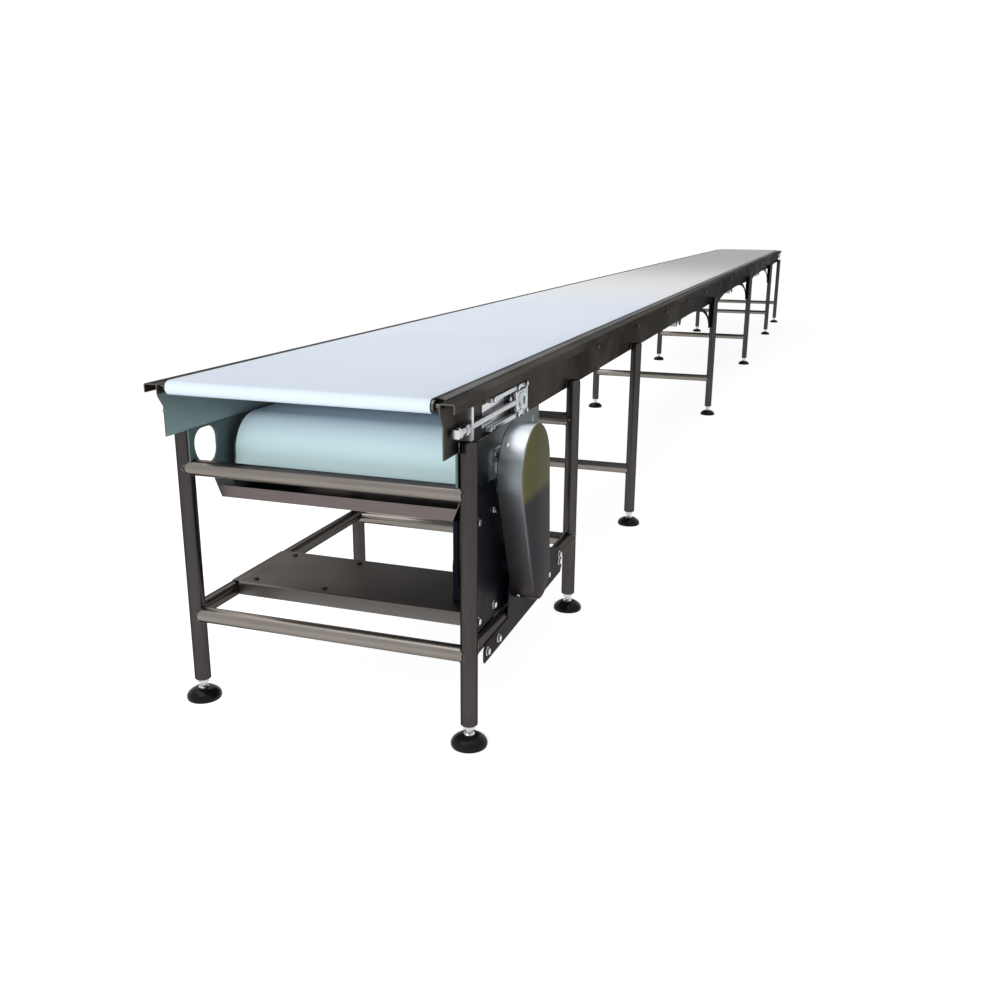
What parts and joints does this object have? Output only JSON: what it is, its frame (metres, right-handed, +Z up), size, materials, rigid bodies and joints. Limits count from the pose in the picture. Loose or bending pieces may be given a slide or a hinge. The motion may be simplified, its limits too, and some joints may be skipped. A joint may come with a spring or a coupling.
{
  "type": "belt conveyor",
  "caption": "Long flat belt conveyor with folded side frames, centre-wound drum drive at one end, chain guard and tube leg frames on levelling feet.",
  "frame": {"origin": "middle of the footprint, on the floor", "axes": "+Y along the belt from the driven nose end to the tail end, +Z up, +X towards the chain guard side"},
  "size_m": [0.8018, 10.08, 0.785],
  "materials": {
    "stainless": "brushed",
    "tube": "brushed",
    "belt": "satin",
    "roller": "turned",
    "casting": "painted grey",
    "dark_paint": "semi-gloss",
    "guard": "brushed",
    "foot": "gloss",
    "chain": "oiled",
    "zinc": "zinc plated"
  },
  "bodies": {
    "root": {"side_frame_left": "stainless", "side_frame_right": "stainless", "slider_bed": "stainless", "bearing_plate_left": "stainless", "bearing_plate_right": "stainless", "motor_shelf": "stainless", "drip_pan": "stainless", "leg_frame_1": "tube", "leg_frame_2": "tube", "leg_frame_3": "tube", "leg_frame_4": "tube", "leg_frame_5": "tube", "leg_frame_6": "tube", "leg_frame_7": "tube", "brace_left": "tube", "brace_right": "tube", "belt": "belt", "drum_bearing_left": "casting", "drum_bearing_right": "casting", "tail_bearing_left": "casting", "tail_bearing_right": "casting", "takeup_bracket_left": "casting", "takeup_bracket_right": "casting", "motor_plate": "dark_paint", "gearbox": "dark_paint", "motor": "dark_paint", "fan_cowl": "dark_paint", "terminal_box": "dark_paint", "guard_cover": "guard", "guard_backplate": "guard", "drive_chain": "chain"},
    "drive_drum": {"drive_drum": "roller", "drum_sprocket": "chain"},
    "motor_shaft": {"output_shaft": "roller", "motor_sprocket": "chain"},
    "nose_roller": {"nose_roller": "roller"},
    "takeup_carriage": {"takeup_block_left": "casting", "takeup_block_right": "casting"},
    "tension_roller": {"tension_roller": "roller"},
    "takeup_screw_left": {"takeup_screw_left": "zinc"},
    "takeup_screw_right": {"takeup_screw_right": "zinc"},
    "snub_roller": {"snub_roller": "roller"},
    "tail_drum": {"tail_drum": "roller"},
    "return_roller_1": {"return_roller_1": "roller"},
    "return_roller_2": {"return_roller_2": "roller"},
    "return_roller_3": {"return_roller_3": "roller"},
    "foot_1_left": {"foot_1_left": "foot"},
    "foot_1_right": {"foot_1_right": "foot"},
    "foot_2_left": {"foot_2_left": "foot"},
    "foot_2_right": {"foot_2_right": "foot"},
    "foot_3_left": {"foot_3_left": "foot"},
    "foot_3_right": {"foot_3_right": "foot"},
    "foot_4_left": {"foot_4_left": "foot"},
    "foot_4_right": {"foot_4_right": "foot"},
    "foot_5_left": {"foot_5_left": "foot"},
    "foot_5_right": {"foot_5_right": "foot"},
    "foot_6_left": {"foot_6_left": "foot"},
    "foot_6_right": {"foot_6_right": "foot"},
    "foot_7_left": {"foot_7_left": "foot"},
    "foot_7_right": {"foot_7_right": "foot"}
  },
  "joints": [
    {"name": "drum_spin", "type": "hinge", "parent": "root", "child": "drive_drum", "pos_m": [-0.0191, -4.71, 0.57689], "axis": [1, 0, 0], "continuous": true},
    {"name": "motor_shaft_spin", "type": "hinge", "parent": "root", "child": "motor_shaft", "pos_m": [-0.0191, -4.653, 0.32], "axis": [1, 0, 0], "continuous": true},
    {"name": "nose_spin", "type": "hinge", "parent": "root", "child": "nose_roller", "pos_m": [-0.0191, -5.02466, 0.76966], "axis": [1, 0, 0], "continuous": true},
    {"name": "takeup_slide", "type": "slide", "parent": "root", "child": "takeup_carriage", "axis": [0, 1, 0], "range_m": [-0.045, 0]},
    {"name": "tension_spin", "type": "hinge", "parent": "takeup_carriage", "child": "tension_roller", "pos_m": [-0.0191, -4.58, 0.70939], "axis": [1, 0, 0], "continuous": true},
    {"name": "takeup_screw_turn_left", "type": "hinge", "parent": "takeup_carriage", "child": "takeup_screw_left", "pos_m": [-0.3549, -4.78, 0.70939], "axis": [0, 1, 0], "range_deg": [-4052, 0]},
    {"name": "takeup_screw_turn_right", "type": "hinge", "parent": "takeup_carriage", "child": "takeup_screw_right", "pos_m": [0.3167, -4.78, 0.70939], "axis": [0, 1, 0], "range_deg": [-4052, 0]},
    {"name": "snub_spin", "type": "hinge", "parent": "root", "child": "snub_roller", "pos_m": [-0.0191, -4.42, 0.63415], "axis": [1, 0, 0], "continuous": true},
    {"name": "tail_spin", "type": "hinge", "parent": "root", "child": "tail_drum", "pos_m": [-0.0191, 4.98705, 0.73205], "axis": [1, 0, 0], "continuous": true},
    {"name": "return_spin_1", "type": "hinge", "parent": "root", "child": "return_roller_1", "pos_m": [-0.0191, -2.038, 0.65379], "axis": [1, 0, 0], "continuous": true},
    {"name": "return_spin_2", "type": "hinge", "parent": "root", "child": "return_roller_2", "pos_m": [-0.0191, 0.24, 0.65379], "axis": [1, 0, 0], "continuous": true},
    {"name": "return_spin_3", "type": "hinge", "parent": "root", "child": "return_roller_3", "pos_m": [-0.0191, 2.485, 0.65379], "axis": [1, 0, 0], "continuous": true},
    {"name": "foot_1_left_height", "type": "slide", "parent": "root", "child": "foot_1_left", "axis": [0, 0, -1], "range_m": [0, 0.03]},
    {"name": "foot_1_right_height", "type": "slide", "parent": "root", "child": "foot_1_right", "axis": [0, 0, -1], "range_m": [0, 0.03]},
    {"name": "foot_2_left_height", "type": "slide", "parent": "root", "child": "foot_2_left", "axis": [0, 0, -1], "range_m": [0, 0.03]},
    {"name": "foot_2_right_height", "type": "slide", "parent": "root", "child": "foot_2_right", "axis": [0, 0, -1], "range_m": [0, 0.03]},
    {"name": "foot_3_left_height", "type": "slide", "parent": "root", "child": "foot_3_left", "axis": [0, 0, -1], "range_m": [0, 0.03]},
    {"name": "foot_3_right_height", "type": "slide", "parent": "root", "child": "foot_3_right", "axis": [0, 0, -1], "range_m": [0, 0.03]},
    {"name": "foot_4_left_height", "type": "slide", "parent": "root", "child": "foot_4_left", "axis": [0, 0, -1], "range_m": [0, 0.03]},
    {"name": "foot_4_right_height", "type": "slide", "parent": "root", "child": "foot_4_right", "axis": [0, 0, -1], "range_m": [0, 0.03]},
    {"name": "foot_5_left_height", "type": "slide", "parent": "root", "child": "foot_5_left", "axis": [0, 0, -1], "range_m": [0, 0.03]},
    {"name": "foot_5_right_height", "type": "slide", "parent": "root", "child": "foot_5_right", "axis": [0, 0, -1], "range_m": [0, 0.03]},
    {"name": "foot_6_left_height", "type": "slide", "parent": "root", "child": "foot_6_left", "axis": [0, 0, -1], "range_m": [0, 0.03]},
    {"name": "foot_6_right_height", "type": "slide", "parent": "root", "child": "foot_6_right", "axis": [0, 0, -1], "range_m": [0, 0.03]},
    {"name": "foot_7_left_height", "type": "slide", "parent": "root", "child": "foot_7_left", "axis": [0, 0, -1], "range_m": [0, 0.03]},
    {"name": "foot_7_right_height", "type": "slide", "parent": "root", "child": "foot_7_right", "axis": [0, 0, -1], "range_m": [0, 0.03]}
  ],
  "couplings": [
    {"joint": "motor_shaft_spin", "follows": "drum_spin", "ratio": 2},
    {"joint": "nose_spin", "follows": "drum_spin", "ratio": 6.3333},
    {"joint": "tension_spin", "follows": "drum_spin", "ratio": -1.8587},
    {"joint": "takeup_screw_turn_left", "follows": "takeup_slide", "rad_per_m": 1570.8},
    {"joint": "takeup_screw_turn_right", "follows": "takeup_slide", "rad_per_m": 1570.8},
    {"joint": "snub_spin", "follows": "drum_spin", "ratio": -1.8587},
    {"joint": "tail_spin", "follows": "drum_spin", "ratio": 1.6765},
    {"joint": "return_spin_1", "follows": "drum_spin", "ratio": -3.2264},
    {"joint": "return_spin_2", "follows": "drum_spin", "ratio": -3.2264},
    {"joint": "return_spin_3", "follows": "drum_spin", "ratio": -3.2264}
  ]
}
